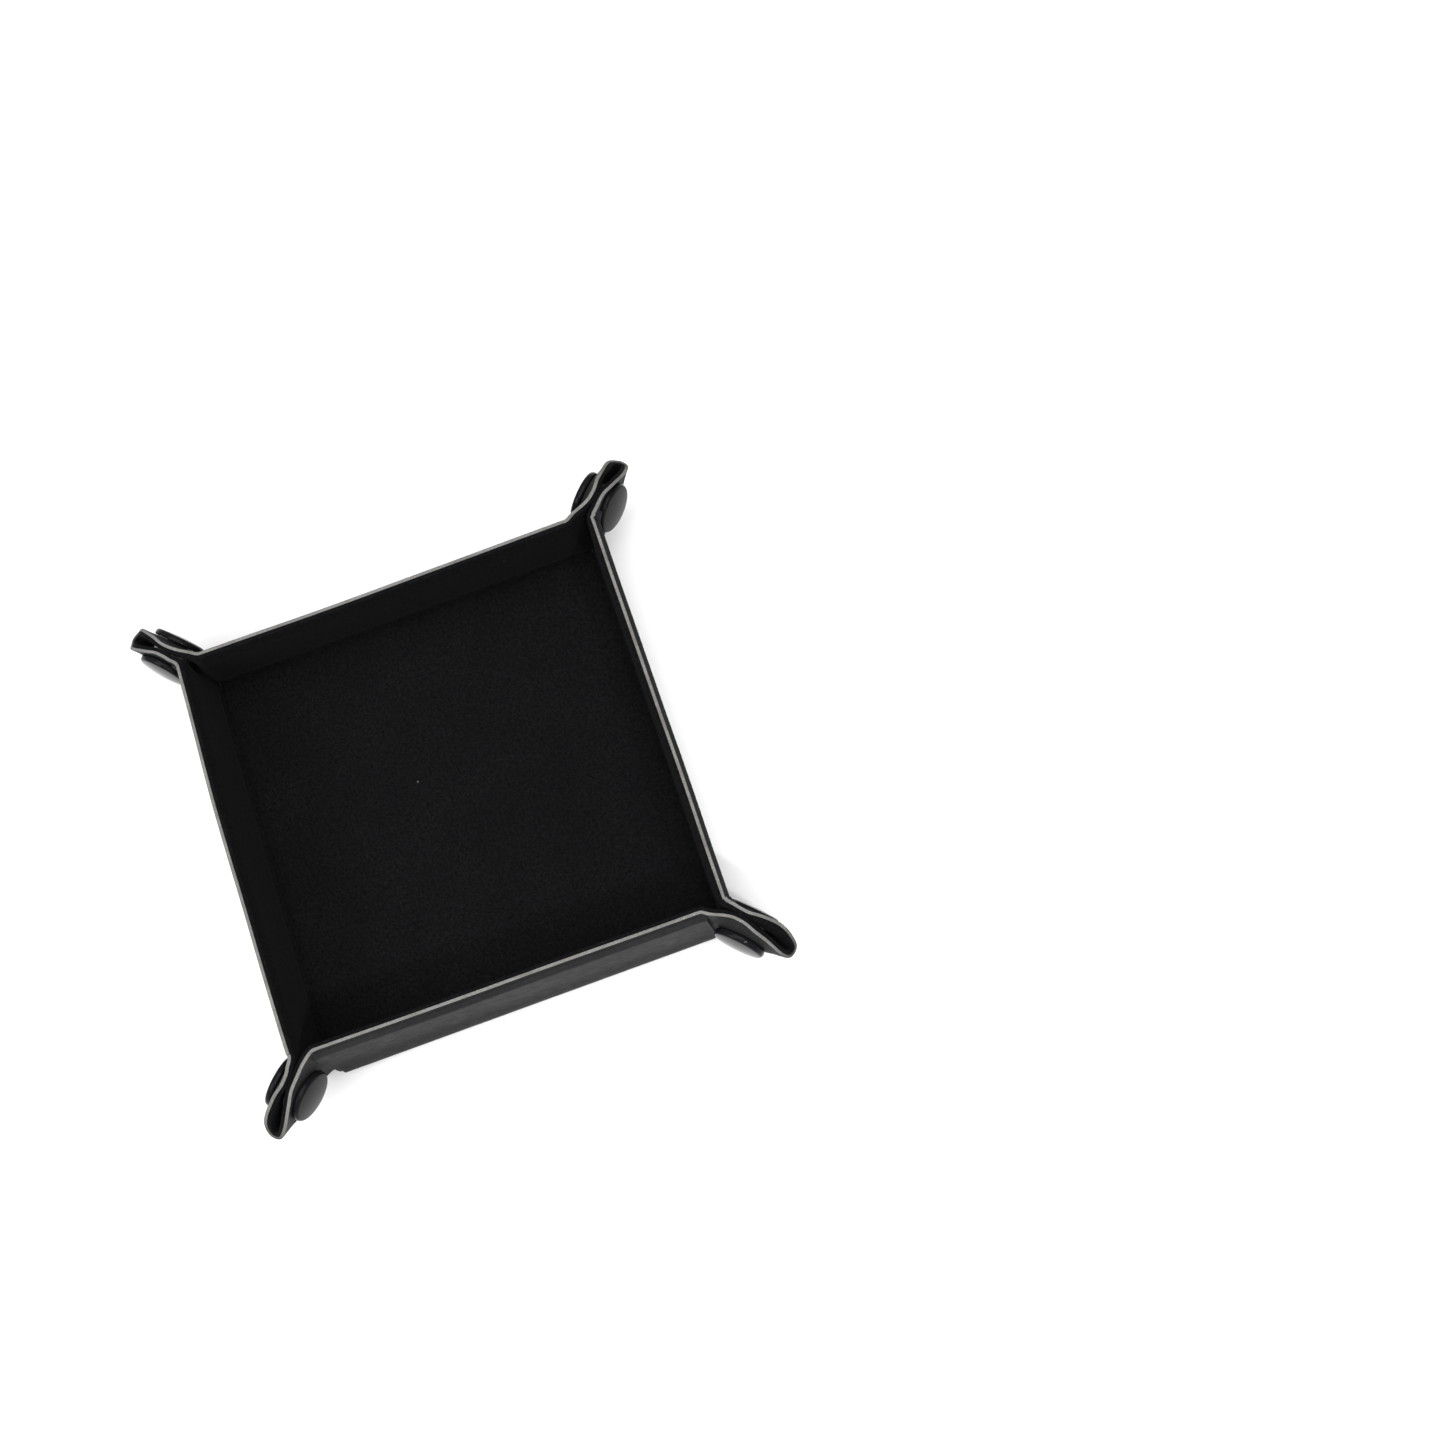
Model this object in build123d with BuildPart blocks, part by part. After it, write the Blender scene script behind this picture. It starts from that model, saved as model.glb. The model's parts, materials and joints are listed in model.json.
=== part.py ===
from build123d import *
import os
from math import cos, radians, sin, sqrt, tan

# Folding dice tray: a square sheet of leather lined with felt, stiffened by one
# base board and four wall boards. The walls fold up about the edges of the base,
# and each corner of the sheet is pinched into an ear that a snap fastener holds.
# The frame's origin is on the floor under the middle of the base. +X runs along
# the front wall, +Y towards the back wall, +Z up. All lengths are millimetres.

# ---- driving dimensions ----
base_half = 54.2        # half the outer width of the base
tray_height = 26.6      # floor to rim
cover_t = 0.9           # leather
board_t = 1.2           # stiffener boards
lining_t = 0.9          # felt
side_lean = 6.0         # degrees the left and right walls stand outwards
end_lean = 0.0          # the front and back walls stand upright
clearance = 0.1         # between neighbouring pieces

panel_half = 47.0       # half length of the raised panel over a wall board
panel_top = 24.3        # height of that panel, which leaves a thin rim above it
board_inset = 0.8       # leather turned down round each board
base_board_half = 50.6  # the base board stops short of the fold lines

ear_gap = 3.2           # felt to felt where the snap holds an ear closed
ear_tip = 20.6          # fold line of the wall to the ear's tip
ear_tip_height = 17.0   # the tip lies below the rim
ear_foot = 3.3          # the ear starts just above the base
fold_inset = 4.4        # the ear's slanted edge runs 45 degrees up from here
far_setback = 1.5       # room at the fold line between an ear and a side wall

snap_out = 9.3          # fold line to the snap's centre
snap_height = 17.0
cap_radius, cap_dome, cap_edge = 6.5, 2.2, 0.5
shank_radius = 1.1
socket_radius, socket_depth, socket_mouth, socket_back = 5.0, 2.3, 2.4, 0.5
flange_radius, flange_t, stud_radius, stud_height = 4.6, 0.45, 1.9, 1.9
edge_round = 0.35       # broken edges on the snap pieces

# ---- places worked out from them ----
sheet_t = cover_t + lining_t
wall_t = cover_t + board_t + lining_t
thin_face = base_half - board_t                 # leather where no board lies under it
ear_offset = ear_gap / 2 + sheet_t              # leather of an ear to its middle plane
fold_x = thin_face - ear_offset * sqrt(2)       # fold line between a wall and an ear

walls = {
    "front": (Vector(0, -1, 0), end_lean),
    "back": (Vector(0, 1, 0), end_lean),
    "left": (Vector(-1, 0, 0), side_lean),
    "right": (Vector(1, 0, 0), side_lean),
}
corners = {"front_left": (-1, -1), "front_right": (1, -1), "back_left": (-1, 1), "back_right": (1, 1)}

os.makedirs("parts", exist_ok=True)


def save(part, label):
    part.label = label
    export_step(part, f"parts/{label}.step")


def slab(width, low, high):
    """A square layer of the base, between two heights."""
    with BuildPart() as layer:
        with BuildSketch(Plane.XY.offset(low)):
            Rectangle(width, width)
        extrude(amount=high - low)
    return layer.part


# ---- base: leather under a board under felt ----
save(slab(2 * base_half, 0, cover_t), "base_cover")
save(slab(2 * base_board_half, cover_t, cover_t + board_t), "base_board")
save(slab(2 * (thin_face - cover_t - clearance), cover_t + board_t, wall_t), "base_lining")


# ---- walls ----
def wall_plane(out, lean):
    """Outer face of a wall: x along the wall, y up the wall, z outwards."""
    tilt = radians(lean)
    normal = out * cos(tilt) - Vector(0, 0, sin(tilt))
    return Plane(origin=out * base_half, x_dir=Vector(0, 0, 1).cross(out), z_dir=normal)


def wall_outline(lean, foot):
    """A wall's flat shape. A leaning wall grows longer towards its rim."""
    setback = far_setback if lean else clearance
    low = fold_x - setback
    high = low + tray_height * tan(radians(lean))
    with BuildSketch() as outline:
        with BuildLine():
            Polyline((-low, foot), (low, foot), (high, tray_height), (-high, tray_height), close=True)
        make_face()
    return outline.sketch


def panel(half, low, high):
    """The rectangle of a wall board or of the leather raised over it."""
    with BuildSketch() as face:
        with Locations((0, (low + high) / 2)):
            Rectangle(2 * half, high - low)
    return face.sketch


def wall_cover(plane, lean):
    foot = cover_t + clearance
    with BuildPart() as cover:
        with BuildSketch(plane.offset(-board_t)):
            add(wall_outline(lean, foot))
        extrude(amount=-cover_t)
        with BuildSketch(plane):
            add(panel(panel_half, foot, panel_top))
        extrude(amount=-board_t - cover_t)
        with BuildSketch(plane.offset(-cover_t)):
            add(panel(panel_half - board_inset, wall_t, panel_top - board_inset))
        extrude(amount=-board_t, mode=Mode.SUBTRACT)
    return cover.part


def wall_board(plane):
    with BuildPart() as board:
        with BuildSketch(plane.offset(-cover_t)):
            add(panel(panel_half - board_inset, wall_t, panel_top - board_inset))
        extrude(amount=-board_t)
    return board.part


def wall_lining(plane, lean):
    with BuildPart() as lining:
        with BuildSketch(plane.offset(-board_t - cover_t)):
            add(wall_outline(lean, wall_t + clearance))
        extrude(amount=-lining_t)
    return lining.part


for name, (out, lean) in walls.items():
    face = wall_plane(out, lean)
    save(wall_cover(face, lean), f"{name}_wall_cover")
    save(wall_board(face), f"{name}_wall_board")
    save(wall_lining(face, lean), f"{name}_wall_lining")


# ---- ears: each corner of the sheet, folded into two halves along its diagonal ----
def ear_outline(lean):
    """Half an ear, x outwards from the wall's fold line and y up."""
    slope = sqrt(2) * tan(radians(lean))
    setback = far_setback if lean else clearance
    foot = (ear_foot * slope + setback, ear_foot)
    top = (tray_height * slope + setback, tray_height)
    shoulder = (ear_offset * sqrt(2) + setback, tray_height)
    tip = (ear_tip, ear_tip_height)
    with BuildSketch() as outline:
        with BuildLine():
            Polyline(foot, top, shoulder)
            TangentArc(shoulder, tip, tangent=(1, 0))
            Polyline(tip, (fold_inset + ear_foot, ear_foot), foot)
        make_face()
        with Locations((snap_out, snap_height)):
            Circle(shank_radius + clearance, mode=Mode.SUBTRACT)
    return outline.sketch


def ear_half(corner, near):
    """Outer face of an ear half, the snap's centre on it, and which way is inwards."""
    sx, sy = corners[corner]
    along = Vector(sx, sy, 0).normalized()
    out = Vector(-sx, sy, 0).normalized() * (1 if near else -1)
    fold = Vector(sx * fold_x, sy * thin_face, 0) if near else Vector(sx * thin_face, sy * fold_x, 0)
    face = Plane(origin=fold, x_dir=along, z_dir=along.cross(Vector(0, 0, 1)))
    inward = -1 if face.z_dir.dot(out) > 0 else 1
    centre = fold + along * snap_out + Vector(0, 0, snap_height)
    return face, inward, Plane(origin=centre, x_dir=along, z_dir=along.cross(out))


def ear_layer(face, inward, lean, depth, thickness):
    with BuildPart() as layer:
        with BuildSketch(face.offset(inward * depth)):
            add(ear_outline(lean))
        extrude(amount=inward * thickness)
    return layer.part


# ---- snap fasteners: profiles have x as radius and y outwards from the leather ----
def snap_cap(axis_plane, shank):
    """A domed cap with the shank that passes through the sheet."""
    with BuildPart() as cap:
        with BuildSketch(axis_plane):
            with BuildLine():
                TangentArc((0, cap_dome), (cap_radius, cap_edge), tangent=(1, 0))
                Polyline((cap_radius, cap_edge), (cap_radius, 0), (shank_radius, 0),
                         (shank_radius, -shank), (0, -shank), (0, cap_dome))
            make_face()
        revolve(axis=Axis(axis_plane.origin, axis_plane.y_dir))
    return cap.part


def snap_socket(axis_plane):
    """A ring on the felt, open towards the stud."""
    back, front = -sheet_t, -sheet_t - socket_depth
    with BuildPart() as socket:
        with BuildSketch(axis_plane):
            with BuildLine():
                Polyline((shank_radius + clearance, back), (socket_radius, back),
                         (socket_radius, front + edge_round), (socket_radius - edge_round, front),
                         (socket_mouth, front), (socket_mouth, back - socket_back),
                         (shank_radius + clearance, back - socket_back), close=True)
            make_face()
        revolve(axis=Axis(axis_plane.origin, axis_plane.y_dir))
    return socket.part


def snap_stud(axis_plane):
    """A flange on the felt with the hollow stud that enters the socket."""
    back = -sheet_t
    front = back - flange_t
    tip = front - stud_height
    with BuildPart() as stud:
        with BuildSketch(axis_plane):
            with BuildLine():
                Polyline((shank_radius + clearance, back), (flange_radius, back), (flange_radius, front),
                         (stud_radius, front), (stud_radius, tip + edge_round),
                         (stud_radius - edge_round, tip), (shank_radius + clearance, tip), close=True)
            make_face()
        revolve(axis=Axis(axis_plane.origin, axis_plane.y_dir))
    return stud.part


for name in corners:
    for half, lean in (("near", end_lean), ("far", side_lean)):
        face, inward, axis_plane = ear_half(name, half == "near")
        save(ear_layer(face, inward, lean, 0, cover_t), f"{name}_ear_{half}_cover")
        save(ear_layer(face, inward, lean, cover_t, lining_t), f"{name}_ear_{half}_lining")
        shank = sheet_t + socket_back if half == "near" else sheet_t + flange_t + stud_height / 2
        save(snap_cap(axis_plane, shank), f"{name}_{half}_snap_cap")
        if half == "near":
            save(snap_socket(axis_plane), f"{name}_snap_socket")
        else:
            save(snap_stud(axis_plane), f"{name}_snap_stud")
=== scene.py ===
import json
import math

import bmesh
import bpy
import numpy as np
from mathutils import Matrix, Vector, noise


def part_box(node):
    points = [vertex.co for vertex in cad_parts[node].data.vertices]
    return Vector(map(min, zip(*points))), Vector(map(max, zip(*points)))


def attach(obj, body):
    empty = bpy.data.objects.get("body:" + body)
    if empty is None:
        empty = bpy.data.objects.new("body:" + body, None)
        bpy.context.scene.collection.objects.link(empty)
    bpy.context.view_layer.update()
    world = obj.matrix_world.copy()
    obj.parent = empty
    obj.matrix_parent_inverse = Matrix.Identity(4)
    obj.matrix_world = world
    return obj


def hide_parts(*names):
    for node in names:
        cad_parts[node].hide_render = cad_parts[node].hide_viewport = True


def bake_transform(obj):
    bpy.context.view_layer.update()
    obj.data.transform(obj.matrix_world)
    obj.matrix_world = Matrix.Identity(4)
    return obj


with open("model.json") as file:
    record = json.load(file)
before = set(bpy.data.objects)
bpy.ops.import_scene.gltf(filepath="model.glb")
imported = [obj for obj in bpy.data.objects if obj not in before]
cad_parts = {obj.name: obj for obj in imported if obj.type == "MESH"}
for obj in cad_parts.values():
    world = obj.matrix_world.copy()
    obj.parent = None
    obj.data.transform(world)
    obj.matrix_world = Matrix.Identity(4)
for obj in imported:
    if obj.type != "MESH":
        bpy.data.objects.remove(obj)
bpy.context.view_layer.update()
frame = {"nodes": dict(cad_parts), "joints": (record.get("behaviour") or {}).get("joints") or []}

# ---- sizes, in metres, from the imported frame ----
MM = 0.001
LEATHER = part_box("base_cover")[1].z                              # thickness of the leather
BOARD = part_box("base_board")[1].z - LEATHER
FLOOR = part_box("base_lining")[1].z                               # top of the felt on the base
FELT = FLOOR - LEATHER - BOARD
SHEET = LEATHER + FELT
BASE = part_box("base_cover")[1].x                                 # half the outer width
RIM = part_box("front_wall_cover")[1].z                            # height of the rim
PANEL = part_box("front_wall_board")[1].x + 3.0 * MM               # half length of a raised wall panel
PANEL_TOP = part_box("front_wall_board")[1].z + 0.8 * MM           # how high the panel reaches
JOINTS = {j["name"]: j for j in frame["joints"]}
THIN = abs(JOINTS["front_left_ear_turn"]["pos_m"][1])            # thin leather outside the boards
CREASE = abs(JOINTS["front_left_ear_turn"]["pos_m"][0])          # fold line of a wall and an ear
WALL_END = CREASE - 0.4 * MM
ROUND = 1.1 * MM                                                 # outer rounding of the base's edge
FELT_FACE = BASE - BOARD - SHEET                                 # how far out the walls' felt stands
GROOVE = 0.75 * MM                                               # depth of the felt's crease round the base
RIM_ROUNDING = 0.16 * MM                                         # soft edge of a cut rim
SIDE_LEAN = math.radians(6.0)                                    # the side walls stand outwards
CAP_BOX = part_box("front_left_near_snap_cap")
CAP_R = (CAP_BOX[1].z - CAP_BOX[0].z) / 2
SNAP_Z = (CAP_BOX[1].z + CAP_BOX[0].z) / 2
SNAP_S = 5.9 * MM                                                # snap's centre, out along an ear
SNAP_FACE = 3.2 * MM                                             # leather under a cap to the middle plane
CAP_TILT = math.radians(5.0)                                     # the caps face a little upwards
DIAGONAL = math.sqrt(0.5)

# Each wall's direction and how far it leans outwards.
WALLS = {"front": (0, -1, 0.0), "back": (0, 1, 0.0), "left": (-1, 0, SIDE_LEAN), "right": (1, 0, SIDE_LEAN)}
# Each corner's direction, and how far its ear bends at the rim: towards the front or back wall, or
# towards the side wall where it is negative.
CORNERS = {"front_left": (-1, -1, 0.6 * MM), "front_right": (1, -1, -1.3 * MM),
           "back_left": (-1, 1, -0.6 * MM), "back_right": (1, 1, -1.5 * MM)}


# ---- materials ----
class Nodes:
    """Short calls for building a node material."""

    def __init__(self, name):
        self.material = bpy.data.materials.new(name)
        self.material.use_nodes = True
        self.tree = self.material.node_tree
        self.shader = self.tree.nodes["Principled BSDF"]

    def add(self, kind, inputs=None, **settings):
        """A new node. Its inputs are sockets to link or values to set."""
        node = self.tree.nodes.new(kind)
        for key, value in settings.items():
            setattr(node, key, value)
        for key, value in (inputs or {}).items():
            if isinstance(value, bpy.types.NodeSocket):
                self.tree.links.new(value, node.inputs[key])
            else:
                node.inputs[key].default_value = value
        return node

    def place(self):
        return self.add("ShaderNodeTexCoord").outputs["Object"]

    def noise(self, place, scale, detail=2.0, rough=0.5):
        inputs = {"Vector": place, "Scale": scale, "Detail": detail, "Roughness": rough}
        return self.add("ShaderNodeTexNoise", inputs).outputs["Fac"]

    def cells(self, place, scale, feature="F1"):
        inputs = {"Vector": place, "Scale": scale}
        return self.add("ShaderNodeTexVoronoi", inputs, feature=feature).outputs["Distance"]

    def map(self, value, low, high, to_low, to_high):
        inputs = {"Value": value, "From Min": low, "From Max": high, "To Min": to_low, "To Max": to_high}
        return self.add("ShaderNodeMapRange", inputs).outputs["Result"]

    def mix(self, share, a, b):
        """Colour a where share is 0 and b where it is 1."""
        node = self.add("ShaderNodeMix", data_type="RGBA")
        for index, value in ((0, share), (6, a), (7, b)):
            if isinstance(value, bpy.types.NodeSocket):
                self.tree.links.new(value, node.inputs[index])
            else:
                node.inputs[index].default_value = value if index == 0 else (*value, 1.0)
        return node.outputs[2]

    def bump(self, height, distance, strength=1.0, before=None):
        inputs = {"Height": height, "Distance": distance, "Strength": strength}
        if before is not None:
            inputs["Normal"] = before
        return self.add("ShaderNodeBump", inputs).outputs["Normal"]

    def shade(self, **sockets):
        """Set or link the shader's sockets, named with _ for a space, and return the material."""
        for key, value in sockets.items():
            name = key.replace("_", " ")
            if isinstance(value, bpy.types.NodeSocket):
                self.tree.links.new(value, self.shader.inputs[name])
            else:
                self.shader.inputs[name].default_value = value
        return self.material


def grey(level):
    return (level, level, level)


def leather_material():
    """Smooth black leather: a fine even grain, faint wrinkles and slightly rubbed high spots."""
    n = Nodes("black_leather")
    place = n.place()
    grain = n.cells(place, 2300, "SMOOTH_F1")
    pores = n.noise(place, 3600, 3, 0.6)
    wrinkle = n.noise(place, 420, 5, 0.6)
    soft = n.noise(place, 70, 3)
    cloud = n.noise(place, 30, 4, 0.6)
    colour = n.mix(n.map(cloud, 0.3, 0.7, 0.0, 1.0), (0.0105, 0.0108, 0.0118), (0.0165, 0.0165, 0.0170))
    colour = n.mix(n.map(grain, 0.15, 0.6, 0.35, 0.0), colour, (0.030, 0.030, 0.031))
    rough = n.map(wrinkle, 0.3, 0.7, 0.52, 0.66)
    normal = n.bump(soft, 0.00040, 0.5)
    normal = n.bump(wrinkle, 0.00006, 0.5, normal)
    normal = n.bump(grain, 0.00005, 0.5, normal)
    normal = n.bump(pores, 0.00003, 0.4, normal)
    return n.shade(Base_Color=colour, Roughness=rough, Normal=normal, IOR=1.30, Specular_IOR_Level=0.13)


def felt_material():
    """Black needled felt: matted fibres, a short nap and the odd speck of lint."""
    n = Nodes("black_felt")
    place = n.place()
    bend = n.add("ShaderNodeTexNoise", {"Vector": place, "Scale": 300.0, "Detail": 2.0}).outputs["Color"]
    bent = n.add("ShaderNodeMix", data_type="VECTOR", factor_mode="UNIFORM")
    bent.inputs[0].default_value = 0.0022
    n.tree.links.new(place, bent.inputs[4])
    n.tree.links.new(bend, bent.inputs[5])
    strands = []
    for turn, stretch in ((0.4, (1.0, 6.0, 1.0)), (-0.5, (6.0, 1.0, 6.0)), (1.3, (5.0, 1.0, 1.0))):
        inputs = {"Vector": bent.outputs[1], "Scale": stretch, "Rotation": (turn, 0.6 * turn, turn)}
        lay = n.add("ShaderNodeMapping", inputs).outputs[0]
        strands.append(n.noise(lay, 620, 3, 0.6))
    fibres = strands[0]
    for strand in strands[1:]:
        fibres = n.add("ShaderNodeMath", {0: fibres, 1: strand}, operation="MAXIMUM").outputs[0]
    mottle = n.noise(place, 1300, 4, 0.7)
    patch = n.noise(place, 60, 4, 0.6)
    dark = n.mix(n.map(mottle, 0.35, 0.68, 0.0, 1.0), (0.0020, 0.0020, 0.0023), (0.0066, 0.0066, 0.0072))
    colour = n.mix(n.map(fibres, 0.56, 0.76, 0.0, 0.7), dark, (0.0105, 0.0103, 0.0113))
    colour = n.mix(n.map(patch, 0.3, 0.7, 0.0, 0.4), colour, (0.0024, 0.0027, 0.0028))
    speck = n.cells(place, 75)
    lint = n.map(speck, 0.010, 0.022, 1.0, 0.0)
    colour = n.mix(lint, colour, (0.10, 0.097, 0.09))
    normal = n.bump(fibres, 0.00016, 0.6)
    normal = n.bump(mottle, 0.00010, 0.5, normal)
    return n.shade(Base_Color=colour, Roughness=0.97, Normal=normal, Specular_IOR_Level=0.02,
                   Sheen_Weight=0.015, Sheen_Roughness=0.5, Sheen_Tint=(0.8, 0.8, 0.85, 1.0))


def edge_material():
    """The cut edge of the sheet, where the pale backing of the leather shows."""
    n = Nodes("cut_edge")
    place = n.place()
    fibre = n.noise(place, 2600, 5, 0.7)
    patch = n.noise(place, 150, 4, 0.6)
    pale = n.mix(n.map(fibre, 0.3, 0.7, 0.0, 1.0), (0.085, 0.084, 0.080), (0.215, 0.212, 0.205))
    colour = n.mix(n.map(patch, 0.42, 0.72, 0.0, 0.65), pale, (0.065, 0.061, 0.052))
    reach = n.add("ShaderNodeVectorMath", {0: place, 1: (1.0, 1.0, 0.0)}, operation="MULTIPLY").outputs[0]
    reach = n.add("ShaderNodeVectorMath", {0: reach}, operation="LENGTH").outputs["Value"]
    colour = n.mix(n.map(reach, 0.0890, 0.0935, 0.0, 0.6), colour, (0.012, 0.010, 0.007))
    normal = n.bump(fibre, 0.00010, 0.7)
    return n.shade(Base_Color=colour, Roughness=0.75, Normal=normal, Specular_IOR_Level=0.3)


def cap_material():
    """Glossy black enamel with faint handling marks."""
    n = Nodes("black_enamel")
    place = n.place()
    rub = n.noise(place, 380, 5, 0.65)
    fine = n.noise(place, 2400, 3, 0.6)
    colour = n.mix(n.map(rub, 0.35, 0.75, 0.0, 1.0), (0.005, 0.005, 0.006), (0.010, 0.010, 0.011))
    rough = n.map(rub, 0.35, 0.75, 0.06, 0.13)
    normal = n.bump(fine, 0.00002, 0.25)
    return n.shade(Base_Color=colour, Roughness=rough, Normal=normal, IOR=1.14, Specular_IOR_Level=0.5)


def metal_material():
    """Blackened plating of the sockets and studs, worn through to bright steel in places."""
    n = Nodes("snap_steel")
    place = n.place()
    turn = n.noise(place, 1800, 4, 0.6)
    worn = n.map(n.noise(place, 500, 4, 0.6), 0.52, 0.66, 0.0, 1.0)
    plated = n.mix(n.map(turn, 0.3, 0.7, 0.0, 1.0), (0.085, 0.085, 0.088), (0.16, 0.158, 0.155))
    colour = n.mix(worn, plated, (0.46, 0.455, 0.44))
    rough = n.map(turn, 0.3, 0.7, 0.22, 0.40)
    return n.shade(Base_Color=colour, Roughness=rough, Metallic=1.0, Normal=n.bump(turn, 0.00003, 0.3))


def board_material():
    """Grey-brown pressed board that stiffens the base and the walls."""
    n = Nodes("pressed_board")
    place = n.place()
    flakes = n.cells(place, 700)
    pulp = n.noise(place, 500, 5, 0.7)
    colour = n.mix(n.map(pulp, 0.3, 0.7, 0.0, 1.0), (0.20, 0.17, 0.13), (0.33, 0.29, 0.23))
    colour = n.mix(n.map(flakes, 0.0, 0.5, 0.3, 0.0), colour, (0.12, 0.10, 0.08))
    return n.shade(Base_Color=colour, Roughness=0.9, Normal=n.bump(pulp, 0.0002, 0.5))


MATERIALS = {
    "leather": leather_material(),
    "felt": felt_material(),
    "edge": edge_material(),
    "snap_cap": cap_material(),
    "snap_metal": metal_material(),
    "board": board_material(),
}


# ---- shapes shared by the pieces ----
def smooth(low, high, value):
    """0 below low, 1 above high and a smooth step between."""
    t = np.clip((np.asarray(value, float) - low) / (high - low), 0.0, 1.0)
    return t * t * (3 - 2 * t)


def wander(points, amount=0.22 * MM, wavelength=30 * MM):
    """Slow unevenness of a hand-made sheet. Leather and felt at one place move alike."""
    flat = points.reshape(-1, 3)
    moved = [noise.noise_vector(Vector(p) / wavelength) * amount for p in flat]
    share = smooth(3 * MM, RIM, flat[:, 2])[:, None]
    return points + (np.array(moved) * share * np.array([1, 1, 0.35])).reshape(points.shape)


def normals(grid, outwards):
    """Unit normals of a grid of points, turned towards the leather side."""
    rows = np.gradient(grid, axis=0)
    columns = np.gradient(grid, axis=1)
    found = np.cross(rows, columns)
    found /= np.maximum(np.linalg.norm(found, axis=2, keepdims=True), 1e-12)
    middle = tuple(s // 2 for s in grid.shape[:2])
    if found[middle] @ np.array(outwards) < 0:
        found = -found
    return found


def finished(name, build, materials, sharp):
    """The object made from a built mesh, smooth but for edges sharper than an angle in degrees."""
    bmesh.ops.recalc_face_normals(build, faces=build.faces)
    for face in build.faces:
        face.smooth = True
    mesh = bpy.data.meshes.new(name)
    build.to_mesh(mesh)
    build.free()
    for material in materials:
        mesh.materials.append(MATERIALS[material])
    mesh.set_sharp_from_angle(angle=math.radians(sharp))
    piece = bpy.data.objects.new(name, mesh)
    bpy.context.scene.collection.objects.link(piece)
    return piece


def shell(name, outer, inner, material):
    """A closed sheet between two grids of points. Its last row is the rim, cut and softly rounded."""
    count, width = outer.shape[:2]
    build = bmesh.new()
    weight = build.edges.layers.float.new("bevel_weight_edge")
    front = [[build.verts.new(p) for p in row] for row in outer]
    back = [[build.verts.new(p) for p in row] for row in inner]
    for i in range(count - 1):
        for j in range(width - 1):
            build.faces.new((front[i][j], front[i + 1][j], front[i + 1][j + 1], front[i][j + 1]))
            build.faces.new((back[i][j], back[i][j + 1], back[i + 1][j + 1], back[i + 1][j]))
    first, last = [(0, j) for j in range(width)], [(count - 1, j) for j in range(width)]
    left, right = [(i, 0) for i in range(count)], [(i, width - 1) for i in range(count)]
    for line in (first, last, left, right):
        for (i, j), (k, m) in zip(line, line[1:]):
            face = build.faces.new((front[i][j], front[k][m], back[k][m], back[i][j]))
            face.material_index = 1 if line is last else 0
    for j in range(width - 1):
        for row in (front[-1], back[-1]):
            build.edges.get((row[j], row[j + 1]))[weight] = 1.0
    piece = finished(name, build, (material, "edge" if material == "leather" else material), 50)
    rounder = piece.modifiers.new("rounded_rim", "BEVEL")
    rounder.width = RIM_ROUNDING
    rounder.segments = 3
    rounder.limit_method = "WEIGHT"
    return piece


# ---- base ----
def square_grid(half, height, count, corner=1.8 * MM):
    """A flat square with its corners drawn in a little."""
    line = np.linspace(-1, 1, count)
    x, y = np.meshgrid(line * half, line * half, indexing="ij")
    pull = smooth(0.9, 1.0, np.minimum(abs(x), abs(y)) / half) * corner * 0.5
    x, y = x - np.sign(x) * pull, y - np.sign(y) * pull
    return np.stack([x, y, np.full_like(x, height)], axis=2)


def base_pieces():
    """The leather under the base, and the felt on it with its edge turned down into the crease."""
    outer = square_grid(BASE - ROUND, 0.0, 40, 0.6 * MM)
    inner = square_grid(BASE - ROUND, LEATHER, 40, 0.6 * MM)
    leather = shell("base_leather", outer, inner, "leather")
    felt_half = FELT_FACE + 0.15 * MM
    top = square_grid(felt_half, FLOOR, 90, 1.0 * MM)
    reach = np.maximum(abs(top[..., 0]), abs(top[..., 1]))
    top[..., 2] -= GROOVE * smooth(CREASE + 1.2 * MM, CREASE + 3.0 * MM, reach)
    ripple = [noise.noise(Vector(p) / (14 * MM)) for p in top.reshape(-1, 3)]
    top[..., 2] += 0.06 * MM * np.array(ripple).reshape(top.shape[:2])
    under = square_grid(felt_half, LEATHER + BOARD - 0.35 * MM, 90, 1.0 * MM)
    felt = shell("base_felt", top, under, "felt")
    return leather, felt


# ---- walls ----
def raised(along, up):
    """1 over a wall board and 0 on the thin leather round it."""
    side = 1 - smooth(PANEL - 0.1 * MM, PANEL + 0.55 * MM, abs(along))
    return side * (1 - smooth(PANEL_TOP - 0.35 * MM, PANEL_TOP + 0.55 * MM, up))


# How far the snaps draw each wall inwards, in millimetres: its panel's top in the middle and at the
# ends, its rim in the middle and at the ends. Then how far its foot bellies out at its two ends.
DRAWN = {"front": (0.6, 0.7, 0.9, 1.0, 1.2, 0.5), "back": (1.7, 1.5, 1.1, 0.9, 0.4, 0.4),
         "left": (1.1, 1.7, 0.5, 1.2, 0.4, 0.4), "right": (0.5, 0.6, 0.45, 0.55, 0.4, 0.4)}


def drawn_in(wall, along, up, bellied):
    """How far a wall's surface lies inside the CAD's. Only the leather bellies out at its foot."""
    panel, panel_end, rim, rim_end, belly_first, belly_last = DRAWN[wall]
    outwards = np.clip(abs(along) / WALL_END, 0, 1) ** 2
    at_panel = (panel + (panel_end - panel) * outwards) * (up / PANEL_TOP) ** 1.3
    at_rim = rim + (rim_end - rim) * outwards
    drawn = at_panel + (at_rim - at_panel) * smooth(PANEL_TOP - 1.5 * MM, RIM, up)
    belly = belly_first + (belly_last - belly_first) * np.clip(0.5 + along / (2 * WALL_END), 0, 1)
    low = bellied * smooth(0, 2 * MM, up) * np.exp(-(((up - 4 * MM) / (4 * MM)) ** 2))
    return (drawn - belly * low) * MM


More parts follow.
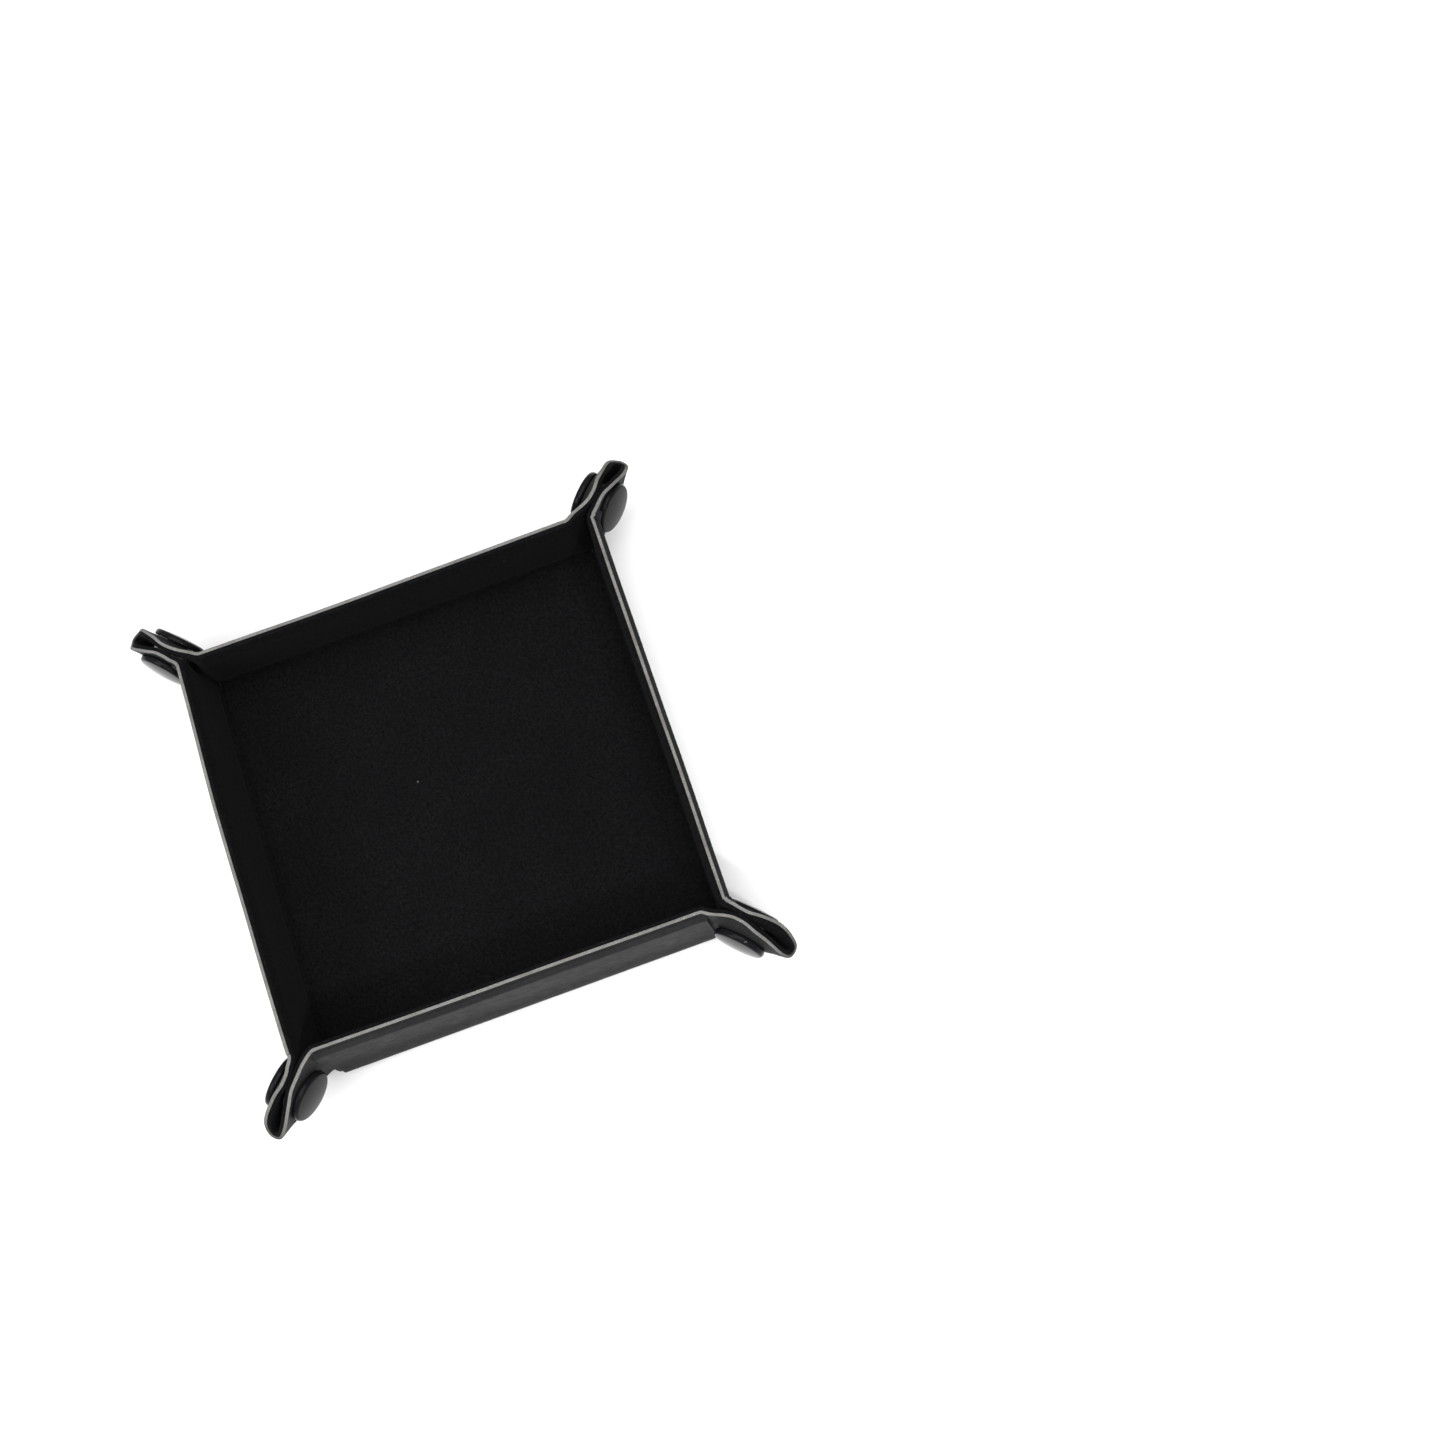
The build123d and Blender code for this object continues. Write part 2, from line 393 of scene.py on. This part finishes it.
def lean_out(reach, up, lean):
    """A wall leans about the outer edge of the base."""
    angle = lean * smooth(0.0, 3.0 * MM, up)
    away = reach - BASE
    return BASE + away * np.cos(angle) + up * np.sin(angle), up * np.cos(angle) - away * np.sin(angle)


def to_world(along, reach, up, ox, oy):
    """Wall coordinates to the frame: along the wall, out from the middle, and up."""
    return np.stack([ox * reach - oy * along, oy * reach + ox * along, up], axis=-1)


def wall_columns():
    """Where the columns of a wall's surface stand along it, alike on both sides of its middle."""
    half = np.linspace(0, WALL_END, 40)
    return np.concatenate([-half[:0:-1], half])


def wall_shape(wall, path, thin_away, panel=1.0, columns=None):
    """Grid of a wall's surface. thin_away is how far the thin leather lies inside the raised panel.
    panel is 0 for the surface without its panel."""
    lean = WALLS[wall][2]
    columns = wall_columns() if columns is None else columns
    rows_reach, rows_up = path
    reach = np.repeat(rows_reach[:, None], len(columns), axis=1)
    up = np.repeat(rows_up[:, None], len(columns), axis=1)
    along = np.repeat(columns[None, :], len(rows_up), axis=0)
    reach = reach - thin_away * (1 - panel * raised(along, up)) * smooth(0, 3.5 * MM, up)
    reach = reach - drawn_in(wall, along, up, thin_away > 0)
    share = along / WALL_END
    along = along + math.tan(lean) * up * share * smooth(0.8, 1.0, abs(share))
    reach, up = lean_out(reach, up, lean)
    return along, reach, up


def wall_end(wall, path, thin_away, count):
    """The last column of a wall's surface in an ear's axes, as count points evenly spread."""
    along, reach, up = (values[:, -1] for values in wall_shape(wall, path, thin_away, panel=0.0))
    out, away = ear_axes(along, reach)
    points = np.stack([out, away, up], axis=1)
    steps = np.linalg.norm(np.diff(points, axis=0), axis=1)
    at = np.concatenate([[0], np.cumsum(steps)])
    even = np.linspace(0, at[-1], count)
    return np.stack([np.interp(even, at, points[:, k]) for k in range(3)], axis=1)


def leather_path():
    """How far out and how high the leather of a wall runs, from under the base to the rim."""
    angles = np.linspace(-math.pi / 2, 0, 9)
    climb = np.concatenate([np.linspace(ROUND, PANEL_TOP - 1.2 * MM, 16)[1:],
                            np.linspace(PANEL_TOP - 0.9 * MM, PANEL_TOP + 0.8 * MM, 9),
                            np.linspace(PANEL_TOP + 1.1 * MM, RIM, 5)])
    reach = np.concatenate([BASE - ROUND + ROUND * np.cos(angles), np.full(len(climb), BASE)])
    return reach, np.concatenate([ROUND + ROUND * np.sin(angles), climb])


def felt_path():
    """The same for the felt's inner face, which starts in a groove at the base."""
    groove_mm = ((-0.15, -0.75), (0.05, -0.72), (0.22, -0.5), (0.25, -0.1), (0.2, 0.5), (0.1, 1.2))
    groove = np.array(groove_mm) * MM
    climb = np.linspace(FLOOR + 2.2 * MM, RIM - 0.15 * MM, 22)
    reach = np.concatenate([FELT_FACE + groove[:, 0], np.full(len(climb), FELT_FACE)])
    return reach, np.concatenate([FLOOR + groove[:, 1], climb])


def wall_pieces(name):
    """The leather and the felt of one wall, from the base's edge to the rim."""
    ox, oy, _ = WALLS[name]
    outer = to_world(*wall_shape(name, leather_path(), BOARD), ox, oy)
    inner = outer - LEATHER * normals(outer, (ox, oy, 0))
    inner[-1, :, 2] = outer[-1, :, 2]
    leather = shell(f"{name}_wall_leather", wander(outer), wander(inner), "leather")
    inside = to_world(*wall_shape(name, felt_path(), 0), ox, oy)
    behind = inside + FELT * normals(inside, (ox, oy, 0))
    behind[-1, :, 2] = inside[-1, :, 2]
    behind[:4, :, 2] = np.minimum(behind[:4, :, 2], inside[:4, :, 2])
    felt = shell(f"{name}_wall_felt", wander(inside), wander(behind), "felt")
    return leather, felt


def wall_board(name):
    """The stiff board between a wall's leather and felt, bent as the wall is."""
    ox, oy, _ = WALLS[name]
    low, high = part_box("front_wall_board")
    clear = 0.05 * MM
    half = 0.975 * high.x
    up = np.linspace(low.z, high.z, 12)
    columns = np.linspace(-half, half, 41)
    faces = []
    for reach in (BASE - LEATHER - clear, BASE - LEATHER - BOARD + clear):
        shape = wall_shape(name, (np.full(len(up), reach), up), 0, columns=columns)
        faces.append(wander(to_world(*shape, ox, oy)))
    return shell(f"{name}_wall_stiffener", *faces, "board")


# ---- ears ----
def b_spline(control, samples):
    """A uniform cubic B-spline through a row of control points, along the first axis."""
    pieces = len(control) - 3
    at = np.linspace(0, pieces, samples)
    index = np.minimum(at.astype(int), pieces - 1)
    t = (at - index).reshape(-1, *([1] * (control.ndim - 1)))
    weights = ((1 - t) ** 3, 3 * t**3 - 6 * t**2 + 4, -3 * t**3 + 3 * t**2 + 3 * t + 1, t**3)
    return sum(w * control[index + k] for k, w in enumerate(weights)) / 6


# The outer face of half an ear's rim: out along the ear and away from its middle plane. The two
# halves are pinched together above the snap and open again into a loop at the tip.
EAR_RIM = ((-1.5, 2.25), (0.8, 1.8), (3.4, 1.75), (6.6, 1.6), (8.6, 2.4), (11.2, 2.8), (13.8, 3.15),
           (16.4, 3.1), (18.2, 2.2), (18.8, 0.8))
RIM_ARC = 17.6 * MM           # radius in which the rim curves down towards the tip
RIM_ARC_FROM = 1.5 * MM       # where it starts to, out along the ear
LOOP = 13.4 * MM              # the loop round the tip starts here, out along the ear
MIRROR = np.array([1, -1, 1])
EAR_COLUMNS, EAR_ROWS = 170, 44


def rim_height(out):
    """How high the rim of an ear is, out along the ear."""
    past = np.clip(out - RIM_ARC_FROM, 0, 0.95 * RIM_ARC)
    return RIM - RIM_ARC + np.sqrt(RIM_ARC**2 - past**2)


def ear_axes(along, depth):
    """From wall coordinates, along the wall and out, to the ear's: out along it and away."""
    return (along + depth - 2 * THIN) * DIAGONAL, (depth - along) * DIAGONAL


def ear_rim(wall):
    """Control points of half a rim, wall end first."""
    drift = RIM * math.tan(WALLS[wall][2])
    along = WALL_END + drift + np.array([-0.8, 0.0, 0.8]) * MM
    out, away = ear_axes(along, THIN + drift - drawn_in(wall, WALL_END, RIM, False))
    listed = np.array(EAR_RIM) * MM
    first, pinch, start = listed[0, 0], listed[3, 0], out[2] + 1.8 * MM
    share = np.clip((listed[:, 0] - first) / (pinch - first), 0, 1)
    listed[:, 0] += (start - first) * (1 - share)
    out = np.concatenate([out, listed[:, 0]])
    return np.stack([out, np.concatenate([away, listed[:, 1]]), rim_height(out)], axis=1)


def ear_foot(depth, height, last):
    """Control points of half an ear's foot, along the base's edge to its corner at last."""
    count = 3 + len(EAR_RIM)
    share = np.clip((np.arange(count) - 1) / (count - 2), 0, 1) ** 0.8
    along = WALL_END + (last - WALL_END) * share
    along[0], along[2] = WALL_END - 0.8 * MM, max(WALL_END + 0.8 * MM, along[2])
    depth = depth + (last - depth) * smooth(0.7, 1.0, share)
    out, away = ear_axes(along, depth)
    return np.stack([out, away, np.full(count, height)], axis=1)


def whole_ear(near, far, samples):
    """Both halves as one curve, near wall to far wall."""
    return b_spline(np.concatenate([near, (far * MIRROR)[::-1]]), samples)


def meet_walls(grid, walls, path, thin_away):
    """Move the columns at both ends onto the ends of the walls, and their neighbours less and less."""
    across = np.linspace(0, 1, grid.shape[1])[None, :, None]
    near = wall_end(walls[0], path, thin_away, len(grid))[:, None]
    far = (wall_end(walls[1], path, thin_away, len(grid)) * MIRROR)[:, None]
    grid += (near - grid[:, :1]) * (1 - smooth(0, 0.16, across))
    grid += (far - grid[:, -1:]) * smooth(0.84, 1, across)


def ear_grid(walls):
    """The outer face of a whole ear, as rows from the foot to the rim, and its inner foot."""
    outer_foot = ear_foot(BASE - ROUND, 0.0, BASE - ROUND)
    inner_foot = ear_foot(FELT_FACE, FLOOR - GROOVE, FELT_FACE + 0.3 * MM)
    foot = whole_ear(outer_foot, outer_foot, EAR_COLUMNS)
    rim = whole_ear(ear_rim(walls[0]), ear_rim(walls[1]), EAR_COLUMNS)
    up = np.linspace(0, 1, EAR_ROWS)[:, None]
    grid = foot[None] + (rim - foot)[None] * up[..., None]
    on_wall = smooth(0.62, 0.84, abs(np.linspace(-1, 1, EAR_COLUMNS)))[None]
    quick = 1 - (1 - up) ** 1.7
    grid[..., 1] = foot[:, 1] + (rim - foot)[:, 1] * (quick + (up - quick) * on_wall)
    lift_at_snap(grid)
    meet_walls(grid, walls, leather_path(), BOARD)
    return grid, whole_ear(inner_foot, inner_foot, EAR_COLUMNS)


def lift_at_snap(grid):
    """The socket and the stud hold the halves apart over the snap, more below it than above."""
    reach = np.hypot(grid[..., 0] - SNAP_S, (grid[..., 2] - SNAP_Z) * 0.95)
    held = 1 - smooth(4.5 * MM, 9.5 * MM, reach)
    wanted = SNAP_FACE - math.tan(CAP_TILT) * (grid[..., 2] - SNAP_Z)
    side = np.sign(grid[..., 1]) * smooth(0.4 * MM, 1.6 * MM, abs(grid[..., 1]))
    grid[..., 1] += side * held * (wanted - abs(grid[..., 1]))


def carry_panel(layer):
    """The raised panel of each wall runs on past the wall's end, as far as the ear's fold."""
    side, away = np.sign(layer[..., 1]), abs(layer[..., 1])
    drift = np.where(side < 0, layer[..., 2] * math.tan(SIDE_LEAN), 0.0)
    along = THIN + (layer[..., 0] - away) * DIAGONAL - drift
    push = BOARD * raised(along, layer[..., 2]) * smooth(0, 3.5 * MM, layer[..., 2])
    layer[..., 0] += push * DIAGONAL
    layer[..., 1] += side * push * DIAGONAL


def ear_to_world(grid, sx, sy):
    """Ear axes to the frame. The near half is on the front or back wall's side."""
    x = THIN + (grid[..., 0] - grid[..., 1]) * DIAGONAL
    y = THIN + (grid[..., 0] + grid[..., 1]) * DIAGONAL
    return np.stack([sx * x, sy * y, grid[..., 2]], axis=-1)


def layer_inside(grid, face, depth, foot, spread):
    """A layer under the outer face. It never crosses the ear's middle plane."""
    layer = grid - depth * face
    side = np.sign(grid[..., 1])
    layer[..., 1] = side * np.maximum(side * layer[..., 1], 0.04 * MM)
    low = (1 - smooth(0, 0.22, np.linspace(0, 1, grid.shape[0])))[:, None, None]
    layer += (foot[None] - layer) * low * spread
    layer[-1, :, 2] = grid[-1, :, 2] - 0.05 * MM
    return layer


def ear_layers(walls, sway):
    """The leather's outer face, the face between leather and felt, and the felt's inner face."""
    grid, inner_foot = ear_grid(walls)
    face = normals(grid, (0, 0, 0))
    if face[len(face) // 2, grid.shape[1] // 4, 1] < 0:
        face = -face
    layers = [grid,
              layer_inside(grid, face, LEATHER, inner_foot, 0.35),
              layer_inside(grid, face, SHEET, inner_foot, 1.0)]
    meet_walls(layers[2], walls, felt_path(), 0)
    for layer in layers:
        bend_rim(layer, sway)
    for layer in layers[:2]:
        carry_panel(layer)
    return layers


def bend_rim(layer, sway):
    """Bend an ear sideways towards its rim, but not where the snap holds it."""
    free = smooth(-3 * MM, 4 * MM, layer[..., 0]) * smooth(SNAP_Z - 2 * MM, RIM - 2 * MM, layer[..., 2])
    clear = smooth(5 * MM, 9 * MM, np.hypot(layer[..., 0] - SNAP_S, layer[..., 2] - SNAP_Z))
    layer[..., 1] += sway * free * clear


def ear_cuts(rim):
    """The columns of the near half, the loop round the tip and the far half."""
    middle = EAR_COLUMNS // 2
    first = int(np.argmin(abs(rim[:middle, 0] - LOOP)))
    last = middle + int(np.argmin(abs(rim[middle:, 0] - LOOP)))
    return (("near", slice(0, first + 1)), ("tip", slice(first, last + 1)), ("far", slice(last, None)))


def ear_pieces(name, sx, sy, sway):
    """Leather and felt of an ear: the near half, the loop round the tip and the far half."""
    layers = ear_layers(name.split("_"), sway)
    outer, between, inner = (wander(ear_to_world(layer, sx, sy)) for layer in layers)
    made = []
    for part, cut in ear_cuts(layers[0][-1]):
        leather = shell(f"{name}_ear_{part}_leather", outer[:, cut], between[:, cut], "leather")
        felt = shell(f"{name}_ear_{part}_felt", between[:, cut], inner[:, cut], "felt")
        made.append((part, leather, felt))
    return made


# ---- snap caps ----
def lathe_ring(build, radius, middle, side, other, steps):
    """One ring of a turned piece, or a single point on its axis."""
    if radius < 1e-6:
        return [build.verts.new(middle)]
    angles = [2 * math.pi * k / steps for k in range(steps)]
    return [build.verts.new(middle + (side * math.cos(a) + other * math.sin(a)) * radius) for a in angles]


def lathe(name, profile, centre, out, material, steps=72):
    """A turned piece: profile is (radius, height) pairs, height along out from centre."""
    out = Vector(out).normalized()
    side = out.orthogonal().normalized()
    other = out.cross(side)
    build = bmesh.new()
    rings = [lathe_ring(build, radius, centre + out * height, side, other, steps)
             for radius, height in profile]
    for low, high in zip(rings, rings[1:]):
        for k in range(steps):
            m = (k + 1) % steps
            if len(low) == 1:
                build.faces.new((low[0], high[k], high[m]))
            elif len(high) == 1:
                build.faces.new((low[k], high[0], low[m]))
            else:
                build.faces.new((low[k], high[k], high[m], low[m]))
    return finished(name, build, (material,), 45)


def cap_profile():
    """A flat dome with a round shoulder and a rolled rim, and the shank behind it."""
    dome, shoulder, roll, shank, shank_end = 2.15 * MM, 1.75 * MM, 0.7 * MM, 1.1 * MM, -2.2 * MM
    bend, rolled = 0.8 * MM, 0.45 * MM
    flat = CAP_R - bend
    points = [(flat * k / 12, dome - (dome - shoulder) * (k / 12) ** 2) for k in range(13)]
    for k in range(1, 7):
        a = math.radians(90 - 15 * k)
        points.append((flat + bend * math.cos(a), roll + (shoulder - roll) * math.sin(a)))
    for k in range(1, 7):
        a = math.radians(-15 * k)
        points.append((CAP_R - rolled + rolled * math.cos(a), roll - 0.15 * MM + 0.5 * MM * math.sin(a)))
    return points + [(CAP_R - 1.2 * MM, 0.2 * MM), (shank, 0.0), (shank, shank_end), (0.0, shank_end)]


def cap_place(half, sx, sy):
    """Where the leather meets a cap's back, and which way the cap faces."""
    away = Vector((-sx, sy, 0)) if half == "near" else Vector((sx, -sy, 0))
    away.normalize()
    middle = Vector((sx, sy, 0)) * (THIN + SNAP_S * DIAGONAL)
    centre = middle + away * SNAP_FACE
    facing = away * math.cos(CAP_TILT) + Vector((0, 0, math.sin(CAP_TILT)))
    return Vector((centre.x, centre.y, SNAP_Z)), facing


# ---- assembly ----
def dress_frame():
    """The CAD's own boards, sockets and studs get their finish. The wall boards are replaced later."""
    for node, item in frame["nodes"].items():
        for key, part in (("board", "board"), ("snap_socket", "snap_metal"), ("snap_stud", "snap_metal")):
            if node.endswith(key):
                item.data.materials.clear()
                item.data.materials.append(MATERIALS[part])


def fit(node):
    """Hides a CAD node; a new piece is built in its place."""
    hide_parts(node)


def add_base():
    """The base stands still."""
    leather, felt = base_pieces()
    for piece, node, slot in ((leather, "base_cover", "leather"), (felt, "base_lining", "felt")):
        fit(node)
        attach(piece, "base")


def add_wall(wall):
    """A wall's leather and felt, fixed where they are built. Its board is stiff."""
    ox, oy, _ = WALLS[wall]
    leather_in, felt_in = BASE - 1.9 * MM, BASE - 3.2 * MM
    start = Vector((ox * leather_in, oy * leather_in, 0.1 * MM))
    end = Vector((ox * BASE, oy * BASE, 2.2 * MM))
    felt_start = Vector((ox * felt_in, oy * felt_in, FLOOR - 0.7 * MM))
    felt_end = felt_start + Vector((ox * 0.4 * MM, oy * 0.4 * MM, 2.4 * MM))
    leather, felt = wall_pieces(wall)
    board = wall_board(wall)
    fit(f"{wall}_wall_board")
    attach(board, f"{wall}_wall")
    for piece, node, slot, a, b in ((leather, "cover", "leather", start, end),
                                    (felt, "lining", "felt", felt_start, felt_end)):
        fit(f"{wall}_wall_{node}")
        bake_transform(piece)


def hold_ear(piece, part, corner):
    """The near half and the loop are fixed where they are built; the far half is held by its body."""
    near, far = f"{corner}_ear_near", f"{corner}_ear_far"
    if part == "near":
        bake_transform(piece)
    elif part == "tip":
        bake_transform(piece)
    else:
        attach(piece, far)


def add_corner(corner):
    """An ear and its two snap caps."""
    sx, sy, sway = CORNERS[corner]
    for part, leather, felt in ear_pieces(corner, sx, sy, sway):
        half = "near" if part == "near" else "far"
        fit(f"{corner}_ear_{half}_cover")
        fit(f"{corner}_ear_{half}_lining")
        for piece in (leather, felt):
            hold_ear(piece, part, corner)
    for half in ("near", "far"):
        centre, out = cap_place(half, sx, sy)
        cap = lathe(f"{corner}_{half}_cap", cap_profile(), centre, out, "snap_cap")
        fit(f"{corner}_{half}_snap_cap")
        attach(cap, f"{corner}_ear_{half}")


dress_frame()
add_base()
for wall in WALLS:
    add_wall(wall)
for corner in CORNERS:
    add_corner(corner)


# ---- camera, floor and light ----
def look_from(place, right, down, ahead, lens):
    """A camera at place whose picture has these directions in the frame."""
    data = bpy.data.cameras.new("camera")
    data.lens, data.sensor_width, data.sensor_fit = lens, 36.0, "HORIZONTAL"
    data.clip_start, data.clip_end = 0.01, 20.0
    camera = bpy.data.objects.new("camera", data)
    turn = Matrix((right, tuple(-v for v in down), tuple(-v for v in ahead))).transposed().to_4x4()
    camera.matrix_world = Matrix.Translation(place) @ turn
    bpy.context.scene.collection.objects.link(camera)
    bpy.context.scene.camera = camera


look_from((0.0769, -0.1437, 0.5312), (0.9412, -0.3222, -0.1014), (-0.3374, -0.9115, -0.2354),
          (-0.0166, 0.2558, -0.9666), 54.4)


def soft_light(name, place, size, power):
    """A square white lamp that faces the origin."""
    data = bpy.data.lights.new(name, "AREA")
    data.shape, data.size, data.energy = "SQUARE", size, power
    lamp = bpy.data.objects.new(name, data)
    lamp.location = place
    lamp.rotation_mode = "QUATERNION"
    lamp.rotation_quaternion = (-Vector(place)).to_track_quat("-Z", "Y")
    bpy.context.scene.collection.objects.link(lamp)


def pale_floor():
    """A plain floor, just under the tray."""
    half = 3.0
    corners = [(-half, -half, 0), (half, -half, 0), (half, half, 0), (-half, half, 0)]
    mesh = bpy.data.meshes.new("floor")
    mesh.from_pydata(corners, [], [(0, 1, 2, 3)])
    floor = bpy.data.objects.new("floor", mesh)
    floor.location.z = -0.02 * MM
    n = Nodes("pale_floor")
    mottle = n.noise(n.place(), 6, 2)
    colour = n.mix(n.map(mottle, 0.3, 0.7, 0.0, 1.0), grey(0.86), grey(0.90))
    mesh.materials.append(n.shade(Base_Color=colour, Roughness=0.7, Specular_IOR_Level=0.2))
    bpy.context.scene.collection.objects.link(floor)


def studio():
    """A white room, a big lamp overhead, a key lamp from the left and two small ones for glints."""
    world = bpy.data.worlds.new("studio")
    world.use_nodes = True
    backdrop = world.node_tree.nodes["Background"]
    backdrop.inputs["Color"].default_value = (1, 1, 1, 1)
    backdrop.inputs["Strength"].default_value = 0.5
    bpy.context.scene.world = world
    soft_light("overhead", (0.05, 0.05, 1.0), 0.9, 10.0)
    soft_light("key", (-0.60, -0.12, 0.62), 0.45, 3.5)
    soft_light("window_left", (0.10, -0.55, 0.75), 0.04, 2.0)
    soft_light("window_right", (0.32, -0.48, 0.75), 0.04, 2.0)


pale_floor()
studio()
bpy.context.scene.view_settings.view_transform = "Standard"
